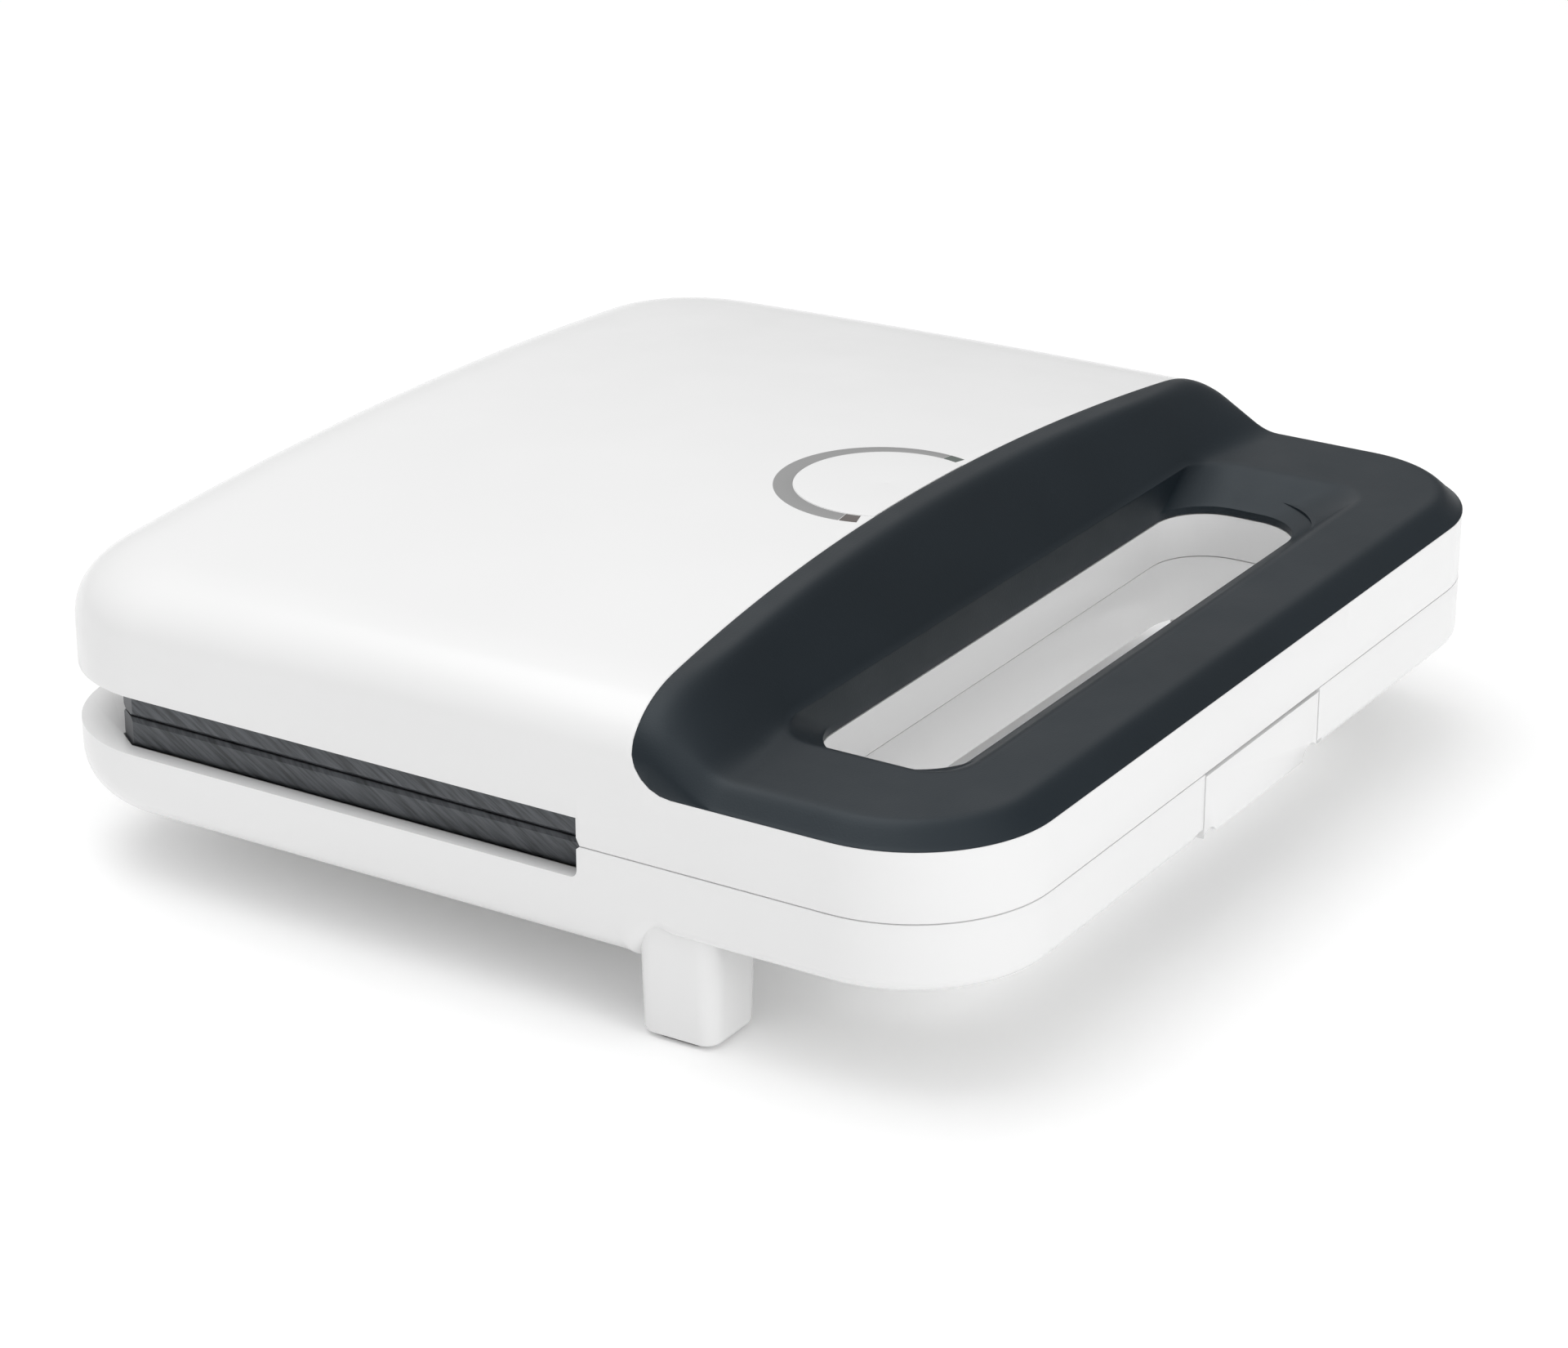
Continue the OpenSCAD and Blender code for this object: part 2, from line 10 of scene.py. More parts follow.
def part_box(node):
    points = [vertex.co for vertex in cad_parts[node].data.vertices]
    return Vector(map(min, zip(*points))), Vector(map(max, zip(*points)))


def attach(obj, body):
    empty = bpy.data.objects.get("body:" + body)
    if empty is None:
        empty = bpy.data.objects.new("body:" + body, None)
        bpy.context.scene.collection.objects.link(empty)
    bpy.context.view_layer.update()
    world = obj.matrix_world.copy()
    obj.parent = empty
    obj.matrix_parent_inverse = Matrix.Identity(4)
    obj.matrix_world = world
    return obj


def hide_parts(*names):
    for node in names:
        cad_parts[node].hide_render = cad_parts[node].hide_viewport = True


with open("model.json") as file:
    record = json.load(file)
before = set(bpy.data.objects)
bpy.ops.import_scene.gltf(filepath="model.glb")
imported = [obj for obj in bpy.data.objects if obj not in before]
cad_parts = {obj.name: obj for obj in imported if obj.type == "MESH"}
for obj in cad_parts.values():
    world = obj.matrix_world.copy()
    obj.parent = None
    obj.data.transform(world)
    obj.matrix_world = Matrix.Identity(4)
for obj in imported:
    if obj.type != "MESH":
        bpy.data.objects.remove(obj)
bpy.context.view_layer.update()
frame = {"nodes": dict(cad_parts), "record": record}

MM = 0.001


def mm_box(node):
    """Lowest and highest corner of a CAD node in millimetres."""
    lo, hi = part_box(node)
    return [c / MM for c in lo], [c / MM for c in hi]


# ---------------------------------------------------------------- main sizes
LID_LO, LID_HI = mm_box("lid_shell")
PLATE_HI = mm_box("lower_plate")[1]
TAB_LO, TAB_HI = mm_box("latch_tab")
HX = LID_HI[0]                      # half width
FRONT = LID_LO[1]                   # front face
REAR = LID_HI[1] - 3.0              # rear face, inside the hinge barrels
CORNER = 29.0                       # plan corner radius
PART = 36.0                         # parting plane in the handle
RIM = 29.4                          # top of the base beside the plates
LID_EDGE = 41.6                     # lower edge of the lid beside the plates
DEEP_LOW = RIM - 10.4               # floor of the lower plate opening, below its moulds
DEEP_UP = LID_EDGE + 10             # roof of the upper plate opening, above its moulds
SKIRT = 50.0                        # lower edge of the bezel
TOP = 70.0                          # crown of the lid
TUB = 12.6                          # underside of the tub
STEP = 22.0                         # underside of the handle part
GAP_Y = -27.0                       # front end of the plate gap
CREST = -31.5                       # rear edge of the bezel at the middle
LOOP = 54.2                         # top of the handle loop
HINGE_Y, HINGE_Z = REAR - 2.5, 36.0
SLOT = dict(hx=78.0, y0=-82.0, y1=-52.0, r=12.0)
MOUTH = dict(hx=87.5, y0=-90.7, y1=-51.7, r=9.0)
LIP = 47.6                          # top of the vertical collar in the slot


# ---------------------------------------------------------------- mesh helpers
def make(name, verts, faces, smooth_deg=32.0):
    """A mesh object from millimetre points."""
    me = bpy.data.meshes.new(name)
    me.from_pydata([tuple(v) for v in (np.asarray(verts, float) * MM)], [], [tuple(f) for f in faces])
    me.validate()
    ob = bpy.data.objects.new(name, me)
    bpy.context.scene.collection.objects.link(ob)
    tidy(ob, smooth_deg)
    return ob


def tidy(ob, smooth_deg=32.0):
    """Outward normals, smooth faces, sharp edges by angle."""
    bm = bmesh.new()
    bm.from_mesh(ob.data)
    bmesh.ops.remove_doubles(bm, verts=bm.verts, dist=1e-7)
    bmesh.ops.recalc_face_normals(bm, faces=bm.faces)
    bm.to_mesh(ob.data)
    bm.free()
    ob.data.shade_smooth()
    ob.data.set_sharp_from_angle(angle=math.radians(smooth_deg))


def grid_faces(rows, cols, closed=True):
    """Quads of a rows x cols point grid, closed along its columns."""
    faces = []
    span = cols if closed else cols - 1
    for r in range(rows - 1):
        for c in range(span):
            d = (c + 1) % cols
            faces.append((r * cols + c, r * cols + d, (r + 1) * cols + d, (r + 1) * cols + c))
    return faces


def loft(name, rings, cap_first=True, cap_last=True, smooth_deg=32.0):
    """A closed skin over rings of equal point count, each (n, 3)."""
    rings = [np.asarray(r, float) for r in rings]
    n = len(rings[0])
    faces = grid_faces(len(rings), n)
    if cap_first:
        faces.append(tuple(range(n))[::-1])
    if cap_last:
        faces.append(tuple((len(rings) - 1) * n + i for i in range(n)))
    return make(name, np.vstack(rings), faces, smooth_deg)


def boolean(ob, cutter, mode="DIFFERENCE"):
    """Applies an exact boolean and removes the cutter."""
    mod = ob.modifiers.new("cut", "BOOLEAN")
    mod.operation, mod.solver, mod.object = mode, "EXACT", cutter
    bake(ob)
    bpy.data.objects.remove(cutter, do_unlink=True)
    tidy(ob)
    return ob


def bake(ob):
    """Turns the modified shape into the object's own mesh."""
    dg = bpy.context.evaluated_depsgraph_get()
    me = bpy.data.meshes.new_from_object(ob.evaluated_get(dg))
    ob.modifiers.clear()
    ob.data = me


def soften(ob, width=0.5, segments=2, angle=38.0):
    """A small rounded edge wherever two faces meet sharply."""
    mod = ob.modifiers.new("edge", "BEVEL")
    mod.width, mod.segments = width * MM, segments
    mod.limit_method, mod.angle_limit = "ANGLE", math.radians(angle)
    mod.use_clamp_overlap = True
    mod.miter_outer = "MITER_ARC"
    bake(ob)
    tidy(ob, 40.0)
    return ob


def join(name, parts):
    """Joins several objects into one."""
    bm = bmesh.new()
    for p in parts:
        bm.from_mesh(p.data)
    me = bpy.data.meshes.new(name)
    bm.to_mesh(me)
    bm.free()
    for p in parts:
        bpy.data.objects.remove(p, do_unlink=True)
    ob = bpy.data.objects.new(name, me)
    bpy.context.scene.collection.objects.link(ob)
    ob.data.shade_smooth()
    ob.data.set_sharp_from_angle(angle=math.radians(35))
    return ob


# ---------------------------------------------------------------- outlines
def outline(hx, y0, y1, rf, rr, arc=18, side=(), long=40, end=24):
    """Columns round a rounded rectangle: core point, outward normal, radius."""
    cols = []
    for x in np.linspace(0, hx - rf, end, endpoint=False):
        cols.append((x, y0 + rf, 0, -1, rf))
    for t in np.linspace(-90, 0, arc, endpoint=False):
        a = math.radians(t)
        cols.append((hx - rf, y0 + rf, math.cos(a), math.sin(a), rf))
    extra = [s for s in side if y0 + rf < s < y1 - rr]
    ys = sorted(set(list(np.linspace(y0 + rf, y1 - rr, long)) + extra))
    for y in ys[:-1]:
        r = rf if abs(rf - rr) < 1e-6 else rf + (rr - rf) * (y - ys[0]) / (ys[-1] - ys[0])
        cols.append((hx - r, y, 1, 0, r))
    for t in np.linspace(0, 90, arc, endpoint=False):
        a = math.radians(t)
        cols.append((hx - rr, y1 - rr, math.cos(a), math.sin(a), rr))
    for x in np.linspace(hx - rr, 0, end, endpoint=False):
        cols.append((x, y1 - rr, 0, 1, rr))
    right = np.array(cols)
    left = right[1:][::-1].copy()
    left[:, 0] *= -1
    left[:, 2] *= -1
    back = np.array([[0, y1 - rr, 0, 1, rr]])
    return np.vstack([right, back, left])


def at(cols, d):
    """Points of an outline moved inwards by d."""
    r = cols[:, 4] - d
    return np.c_[cols[:, 0] + cols[:, 2] * r, cols[:, 1] + cols[:, 3] * r]


def ring_at(cols, d, z):
    p = at(cols, d)
    return np.c_[p, np.broadcast_to(z, len(p))]


def inside(x, y, hx, y0, y1, r):
    """How far a point lies inside a rounded rectangle; negative outside."""
    cx, cy = abs(x) - (hx - r), abs(y - (y0 + y1) / 2) - ((y1 - y0) / 2 - r)
    return r - math.hypot(max(cx, 0), max(cy, 0)) - min(max(cx, cy), 0)


def prism_x(name, x0, x1, prof):
    """A (y, z) outline carried along X."""
    return loft(name, [[(x, y, z) for y, z in prof] for x in (x0, x1)])


def box_mm(name, x0, x1, y0, y1, z0, z1):
    v = [(x, y, z) for x in (x0, x1) for y in (y0, y1) for z in (z0, z1)]
    f = [(0, 1, 3, 2), (4, 6, 7, 5), (0, 4, 5, 1), (2, 3, 7, 6), (0, 2, 6, 4), (1, 5, 7, 3)]
    return make(name, v, f)


def pill(name, x0, x1, y0, y1, z0, z1, r, bottom=0.6, top=0.6, taper=0.0, arc=10):
    """A rounded block: plan radius r, softened top and bottom, optional taper."""
    cx, hx = (x0 + x1) / 2, (x1 - x0) / 2
    cols = outline(hx, y0, y1, r, r, arc=arc, long=6, end=6)
    rings = []
    for k in range(5):
        a = math.pi / 2 * k / 4
        rings.append((bottom * (1 - math.sin(a)), z0 + bottom * (1 - math.cos(a))))
    for k in range(5):
        a = math.pi / 2 * k / 4
        rings.append((top * (1 - math.cos(a)), z1 - top * (1 - math.sin(a))))
    out = []
    for d, z in rings:
        g = taper * (z1 - z) / (z1 - z0)
        p = ring_at(cols, min(d + g, r - 0.05), z)
        p[:, 0] += cx
        out.append(p)
    return loft(name, out)


def lathe_x(name, x0, x1, y, z, r, edge=0.5, bore=0.0, n=48):
    """A barrel lying along X with softened ends and an optional bore."""
    prof = [(x0, max(bore, 0.01)), (x0, r - edge), (x0 + edge * 0.3, r - edge * 0.3), (x0 + edge, r),
            (x1 - edge, r), (x1 - edge * 0.3, r - edge * 0.3), (x1, r - edge), (x1, max(bore, 0.01))]
    rings = []
    for px, pr in prof:
        a = np.linspace(0, 2 * math.pi, n, endpoint=False)
        rings.append(np.c_[np.full(n, px), y + pr * np.cos(a), z + pr * np.sin(a)])
    rings.append(rings[0])
    return loft(name, rings, False, False)


# ---------------------------------------------------------------- lid surface
EDGE_A, EDGE_B, EDGE_N = 20.0, 12.5, 2.5


def dome(x, y):
    return TOP - x * x / 2300.0 - 1.5e-4 * max(0.0, y + 32.0) ** 2


def edge_drop(d, a=EDGE_A, b=EDGE_B, n=EDGE_N):
    if d >= a:
        return 0.0
    t = min(1.0, (a - d) / a)
    return b * (1 - max(0.0, 1 - t ** n) ** (1 / n))


def lid_top(x, y):
    return dome(x, y) - edge_drop(max(0.0, inside(x, y, HX, FRONT, REAR, CORNER)))


def crest(x):
    return CREST - x * x / 1800.0


def pillow(name, inset, z0):
    """Closed solid under the crowned lid surface, inset on every side."""
    cols = outline(HX - inset, FRONT + inset, REAR - inset, CORNER - inset, CORNER - inset,
                   arc=22, long=70, end=36, side=(GAP_Y,))
    a, b = EDGE_A - inset * 0.5, EDGE_B - inset * 0.5
    rings = [ring_at(cols, 0, z0)]
    wall = np.array([dome(*p) for p in at(cols, 0)]) - inset - b
    for k in range(1, 4):
        rings.append(np.c_[at(cols, 0), z0 + (wall - z0) * k / 3])
    steps = 18
    for k in range(1, steps + 1):
        phi = math.pi / 2 * k / steps
        t = math.cos(phi) ** (2 / EDGE_N) if k < steps else 0.0
        d = a * (1 - t)
        p = at(cols, d)
        z = np.array([dome(*q) - inset for q in p]) - edge_drop(d, a, b)
        rings.append(np.c_[p, z])
    p0 = at(cols, a)
    centre = np.array([0.0, (FRONT + REAR) / 2])
    for s in np.linspace(0, 1, 24)[1:-1]:
        p = p0 + (centre - p0) * s
        rings.append(np.c_[p, [dome(*q) - inset for q in p]])
    p = p0 + (centre - p0) * 0.985
    rings.append(np.c_[p, [dome(*q) - inset for q in p]])
    return loft(name, rings)


def bezel_zone(name, gap=0.0, drop=0.0):
    """Volume in front of the curved crest, above the skirt line less a drop."""
    rings, r = [], 9.0
    foot = SKIRT + gap
    arc = [r * (1 - math.cos(math.radians(t))) for t in (0, 15, 30, 45, 60, 75, 90)]
    for x in np.linspace(-125, 125, 101):
        rear = crest(x) - gap
        back = [(x, rear - r + math.sqrt(r * r - (r - h) ** 2), foot + h) for h in arc]
        if drop:
            back.insert(0, (x, rear - r, foot - drop))
        rings.append([(x, FRONT - 12, 92.0), (x, FRONT - 12, foot - drop)] + back + [(x, rear, 92.0)])
    return loft(name, rings)


def slot_cutter(name, z0, z1, d0=0.0, d1=0.0):
    """Prism through the hand slot, grown by d0 below and d1 above."""
    cols = outline(SLOT["hx"], SLOT["y0"], SLOT["y1"], SLOT["r"], SLOT["r"], arc=10, long=8, end=20)
    return loft(name, [ring_at(cols, -d0, z0), ring_at(cols, -d1, z1)])


def plate_hole(name, y0, z0, z1):
    """Opening in a rim that a mould plate sits in."""
    hx, y1 = PLATE_HI[0] + 0.4, PLATE_HI[1] + 0.4
    c, q = 5.2, 3.6
    ring = [(-hx, y0), (hx, y0), (hx, y1 - c), (hx - q, y1), (q - hx, y1), (-hx, y1 - c)]
    return loft(name, [[(x, y, z) for x, y in ring] for z in (z0, z1)])


def notch(ob):
    """Small clipped corners where the plate gap meets the parting line."""
    prof = [(GAP_Y + 0.6, PART - 0.7), (GAP_Y, PART - 0.7), (GAP_Y - 0.8, PART),
            (GAP_Y, PART + 1.6), (GAP_Y + 0.6, PART + 1.6)]
    for x0, x1 in ((-HX - 5, 3 - HX), (HX - 3, HX + 5)):
        boolean(ob, prism_x("n", x0, x1, prof))


def build_lid():
    """White lid: crowned top, skirt, plate opening, hinge knuckles.

    The inner and channel cuts leave the mesh solid above the plate opening.
    """
    lid = pillow("lid_white", 0.0, PART + 0.15)
    boolean(lid, bezel_zone("z"))
    boolean(lid, box_mm("g", -130, 130, GAP_Y, 140, 0, LID_EDGE))
    inner = pillow("i", 2.5, PART - 4)
    boolean(inner, box_mm("k", -130, 130, GAP_Y - 0.4, 140, LID_EDGE + 2.4, 90), "INTERSECT")
    boolean(lid, inner)
    boolean(lid, plate_hole("p", GAP_Y - 0.4, PART - 4, DEEP_UP))
    notch(lid)
    channel = pillow("c", 2.5, PART - 4)
    boolean(channel, box_mm("k", -130, 130, -140, GAP_Y - 3, 0, SKIRT - 2.5), "INTERSECT")
    boolean(channel, slot_cutter("k", 0, 90, 3.0, 3.0))
    boolean(lid, channel)
    boolean(lid, slot_cutter("s", 30, 46.0, 1.4, 0.1))
    boolean(lid, slot_cutter("s", 45.9, 60, 4.2, 4.2))
    for s in (-1, 1):
        for x0, x1 in ((43.2, 50.4), (63.6, 70.8)):
            boolean(lid, lathe_x("b", min(s * x0, s * x1), max(s * x0, s * x1), HINGE_Y, HINGE_Z, 6.1))
    soften(lid, 0.45, 2)
    parts = [lid]
    for s in (-1, 1):
        x0, x1 = sorted((s * 50.4, s * 63.6))
        parts.append(lathe_x("kn", x0, x1, HINGE_Y, HINGE_Z, 5.5, bore=2.05))
        parts.append(pill("ka", x0, x1, HINGE_Y - 5.4, REAR - 0.15, HINGE_Z + 2.6, LID_EDGE + 5, 1.0))
    parts.append(pill("ledge", -14, 14, FRONT + 1, FRONT + 4.4, 38.6, 41.4, 0.6, 0.3, 0.3))
    return join("lid_white", parts)


# ---------------------------------------------------------------- bezel
def fillet_ramp(t, w0, w1):
    """0 below 0, 1 above 1, straight between, with rounded ends."""
    if t <= -w0:
        return 0.0
    if t < w0:
        return (t + w0) ** 2 / (4 * w0)
    if t <= 1 - w1:
        return t
    if t < 1 + w1:
        return 1 - (1 - t + w1) ** 2 / (4 * w1)
    return 1.0


def smooth(t):
    t = min(1.0, max(0.0, t))
    return t * t * (3 - 2 * t)


def bezel_height(x, y):
    """Top surface of the bezel: handle loop, bank and crest band."""
    d = max(0.0, inside(x, y, HX, FRONT, REAR, CORNER))
    loop = LOOP - 4.2 * (1 - fillet_ramp(d / 4.6, 0.15, 0.3))
    top = lid_top(x, y) + 0.15
    e = smooth((abs(x) - 78) / 34)
    yb = crest(x) - 6.2 + 2.6 * e
    yf = MOUTH["y1"] - 0.2 - 3.2 * e
    s = fillet_ramp((y - yf) / (yb - yf), 0.13 + 0.1 * e, 0.12 + 0.12 * e)
    return loop + (top - loop) * s


def build_bezel():
    """Charcoal bezel: loop, bank, dished mouth and collar of the hand slot."""
    grid = dict(arc=26, long=70, end=64)
    outer = outline(HX, FRONT, -18.0, CORNER, 9.0, **grid)
    mouth = outline(MOUTH["hx"], MOUTH["y0"], MOUTH["y1"], MOUTH["r"], MOUTH["r"], **grid)
    hole = outline(SLOT["hx"], SLOT["y0"], SLOT["y1"], SLOT["r"], SLOT["r"], **grid)
    offs = [0, 0.35, 0.8, 1.4, 2.1, 2.9, 3.6, 4.2, 4.7, 5.3, 6.2]
    lift = lambda p: np.array([bezel_height(*q) for q in p])
    flat = lambda cols, d, z: np.c_[at(cols, d), np.full(len(cols), z)]
    lines = [at(outer, d) for d in offs]
    a, b = lines[-1], at(mouth, -1.2)
    lines += [a + (b - a) * t for t in np.linspace(0, 1, 26)[1:]]
    rings = [flat(outer, 0, SKIRT + 0.06)] + [np.c_[p, lift(p)] for p in lines]
    rim, low = at(mouth, 0), at(hole, 0)
    high = lift(at(mouth, -0.3))
    for t in (-0.06, 0.0, 0.07, 0.14, 0.25, 0.4, 0.55, 0.7, 0.82, 0.9, 0.96, 1.0):
        k = fillet_ramp(t, 0.14, 0.1)
        p = rim + (low - rim) * max(0.0, t) + (at(mouth, -0.9) - rim) * max(0.0, -t / 0.06) * 0.5
        rings.append(np.c_[p, high + (LIP - high) * min(1.0, k)])
    for d, z in ((0, LIP - 0.7), (0, 46.3), (-0.3, 46.0), (-3.9, 46.0), (-3.9, SKIRT + 0.06)):
        rings.append(flat(hole, d, z))
    rings.append(flat(outer, 1.0, SKIRT + 0.06))
    rings.append(rings[0])
    bez = loft("bezel", rings, False, False)
    boolean(bez, bezel_zone("z", 0.06, 6.0), "INTERSECT")
    soften(bez, 0.25, 2, 50)
    return bez


# ---------------------------------------------------------------- base
def base_floor(y):
    """Height of the base's underside: tub, arch, handle part."""
    t = (-(y) - 36.5) / 8.5
    t = min(1.0, max(0.0, t))
    return TUB + (STEP - TUB) * (t * t * (3 - 2 * t))


def base_block(name, inset, ztop):
    """Closed solid of the base with its rounded lower edge."""
    side = list(np.linspace(-50, -34, 24))
    cols = outline(HX - inset, FRONT + inset, REAR - inset, CORNER - inset, CORNER - inset,
                   arc=22, long=60, end=36, side=side + [GAP_Y])
    def rnd(y):
        t = min(1.0, max(0.0, (-y - 34) / 14))
        t = t * t * (3 - 2 * t)
        return 14 + (3.5 - 14) * t, 12 + (3.0 - 12) * t
    base = at(cols, 0)
    rings = []
    lo = np.array([base_floor(y) + inset + max(0.5, rnd(y)[1] - inset) for x, y in base])
    for k in (0, 1, 2):
        rings.append(np.c_[base, ztop + (lo - ztop) * k / 2])
    steps = 14
    p_last = None
    for k in range(1, steps + 1):
        phi = math.pi / 2 * k / steps
        t = math.cos(phi) ** (2 / 2.2) if k < steps else 0.0
        ab = np.array([rnd(y) for x, y in base])
        a = np.maximum(0.5, ab[:, 0] - inset)
        b = np.maximum(0.5, ab[:, 1] - inset)
        d = a * (1 - t)
        r = cols[:, 4] - d
        p = np.c_[cols[:, 0] + cols[:, 2] * r, cols[:, 1] + cols[:, 3] * r]
        fl = np.array([base_floor(q[1]) for q in p])
        z = fl + inset + b * (1 - (1 - t ** 2.2) ** (1 / 2.2))
        z = np.minimum(z, rings[-1][:, 2])
        rings.append(np.c_[p, z])
        p_last = p
    centre = np.array([0.0, 0.0])
    for s in np.linspace(0, 1, 40)[1:-1]:
        p = p_last * np.array([1 - s, 1 - s]) + centre * s
        rings.append(np.c_[p, [base_floor(q[1]) + inset for q in p]])
    return loft(name, rings)


def build_base():
    """White base: tub, handle part with the slot, feet, hinge ears.

    The inner and hollow cuts leave the mesh solid beside the plate opening.
    """
    base = base_block("base_white", 0.0, PART - 0.15)
    q = 1.5
    step = [(GAP_Y + q * (1 - math.sin(t)), RIM + q * (1 - math.cos(t)))
            for t in np.linspace(0, math.pi / 2, 5)]
    boolean(base, prism_x("r", -130, 130, [(140, 60), (140, RIM)] + step + [(GAP_Y, 60)]))
    inner = base_block("i", 2.5, 60)
    boolean(inner, box_mm("k", -130, 130, GAP_Y, 140, 0, RIM - 2.4), "INTERSECT")
    boolean(base, inner)
    boolean(base, plate_hole("p", GAP_Y, DEEP_LOW, 60))
    notch(base)
    hollow = base_block("h", 2.5, PART - 2.5)
    boolean(hollow, box_mm("k", -130, 130, -140, GAP_Y - 3, 0, PART - 2.5), "INTERSECT")
    boolean(hollow, slot_cutter("k", 0, 60, 3.0, 3.0))
    low = box_mm("k", -HX + 3, HX - 3, FRONT + 3, -46, STEP - 4, STEP + 4)
    boolean(low, slot_cutter("k", 0, 60, 3.0, 3.0))
    clip = pillow("p", 3.0, 0)
    boolean(low, clip, "INTERSECT")
    boolean(base, hollow)
    boolean(base, low)
    boolean(base, slot_cutter("s", 0, 60, 0.6, 1.4))
    boolean(base, pill("f", -80, 80, -18, 82, 0, 20, 6, 0.1, 0.1))
    boolean(base, pill("f", -86, 86, -24, 88, 0, 13.9, 6, 0.1, 0.1))
    w = TAB_HI[0] + 0.5
    boolean(base, box_mm("w", -w, w, FRONT - 2, FRONT + 3.4, 0, PART + 2))
    for s in (-1, 1):
        x0, x1 = sorted((s * (w - 0.5), s * (w + 2.6)))
        boolean(base, pill("n", x0, x1, FRONT - 2, FRONT + 3.2, 10, STEP + 2.4, 1.2, 0.2, 1.0))
    boolean(base, box_mm("w", -11, 11, FRONT + 2, -98, PART - 8, PART + 2))
    boolean(base, lathe_y("g", 0, REAR - 9, REAR + 5, 23, 4.9))
    soften(base, 0.45, 2)
    parts = [base]
    for s in (-1, 1):
        x0, x1 = sorted((s * (HX - 0.9), s * (HX - 18.2)))
        parts.append(foot(x0, x1))
        for a, b in ((44, 50), (64, 70)):
            x0, x1 = sorted((s * a, s * b))
            parts.append(lathe_x("ear", x0, x1, HINGE_Y, HINGE_Z, 5.5, bore=2.0))
            parts.append(pill("eb", x0, x1, HINGE_Y - 5.4, REAR - 0.1, 24, HINGE_Z - 2, 1.0))
        x0, x1 = sorted((s * 26, s * 29))
        parts.append(box_mm("rib", x0, x1, FRONT + 1, SLOT["y0"] - 2, 24.4, PART - 1))
    return join("base_white", parts)


def foot(x0, x1):
    """Front foot: tapered post with rounded corners."""
    return pill("foot", x0, x1, -56.2, -38.2, 0.6, 26, 4.2, bottom=1.3, top=0.3, taper=0.7)


def lathe_y(name, x, y0, y1, z, r, n=40):
    a = np.linspace(0, 2 * math.pi, n, endpoint=False)
    return loft(name, [np.c_[x + r * np.cos(a), np.full(n, y), z + r * np.sin(a)] for y in (y0, y1)])


def build_tab():
    """Latch tab, flush with the front, with finger notches below."""
    w = TAB_HI[0]
    tab = box_mm("latch_plate", -w, w, FRONT, FRONT + 2.6, TAB_LO[2], TAB_HI[2])
    boolean(tab, lathe_y("n", w - 2.6, FRONT - 2, FRONT + 5, STEP - 0.4, 3.4))
    boolean(tab, lathe_y("n", 2.6 - w, FRONT - 2, FRONT + 5, STEP - 1.4, 3.0))
    soften(tab, 0.35, 2)
    parts = [tab]
    for s in (-1, 1):
        x0, x1 = sorted((s * 18, s * 22))
        parts.append(pill("lug", x0, x1, FRONT + 1, -103.4, 25.3, 31.7, 0.8, 0.3, 0.3))
        parts.append(lathe_x("eye", x0, x1, -103.5, 28.5, 3.2, bore=1.55))
    return join("latch_plate", parts)


# ---------------------------------------------------------------- badge and ring
def patch(name, centre, radius, hole=None, lift=0.12, grow=(0, 360), thick=1.0, n=96):
    """A thin round patch or ring segment lying on the crowned lid."""
    a0, a1 = grow
    angs = np.radians(np.linspace(a0, a1, n + 1))
    rows = []
    for a in angs:
        o = np.array([centre[0] + radius * math.cos(a), centre[1] + radius * math.sin(a)])
        i = np.array([centre[0] + 0.02 * math.cos(a), centre[1] + 0.02 * math.sin(a)])
        if hole:
            h, hr = hole
            dirv = np.array([math.cos(a), math.sin(a)])
            rel = np.array(centre) - np.array(h)
            bq = rel @ dirv
            i = np.array(centre) + dirv * (-bq + math.sqrt(max(0, bq * bq - rel @ rel + hr * hr)))
        line = []
        section = ((0, -thick), (0, -0.12), (0.0, lift - 0.05), (0.06, lift), (0.5, lift),
                   (0.94, lift), (1.0, lift - 0.05), (1, -0.12), (1, -thick))
        for s, dz in section:
            p = o + (i - o) * s
            line.append((p[0], p[1], lid_top(p[0], p[1]) + dz))
        rows.append(line)
    full = abs(a1 - a0 - 360) < 1e-6
    pts = np.array(rows[:-1] if full else rows)
    m = pts.shape[1]
    v = pts.reshape(-1, 3)
    faces = []
    k = len(pts)
    for r in range(k if full else k - 1):
        q = (r + 1) % k
        for c in range(m):
            d = (c + 1) % m
            faces.append((r * m + c, r * m + d, q * m + d, q * m + c))
    if not full:
        faces.append(tuple(range(m)))
        faces.append(tuple((k - 1) * m + c for c in range(m))[::-1])
    return make(name, v, faces)


RING_C, RING_R = (0.0, -23.5), 22.3
DISC_C, DISC_R = (0.5, -24.0), 19.0


def build_badge():
    """Plain white disc."""
    disc = patch("badge_face", DISC_C, DISC_R - 0.15, lift=0.16)
    boolean(disc, bezel_zone("z", -0.2))
    return disc


def build_ring():
    """Grey crescent round the disc."""
    ring = patch("ring_grey", RING_C, RING_R, hole=(DISC_C, DISC_R), lift=0.06, grow=(-7, 187))
    boolean(ring, bezel_zone("z", -0.2))
    return ring


def build_lens(name, side):
    """Lamp window closing one end of the ring."""
    g = (-17, -7.6) if side > 0 else (187.6, 197)
    lens = patch(name, RING_C, RING_R, hole=(DISC_C, DISC_R), lift=0.06, grow=g, n=12)
    boolean(lens, bezel_zone("z", -0.2))
    return lens


# ---------------------------------------------------------------- materials
def new_mat(name):
    m = bpy.data.materials.new(name)
    m.use_nodes = True
    nt = m.node_tree
    bsdf = nt.nodes["Principled BSDF"]
    return m, nt, bsdf


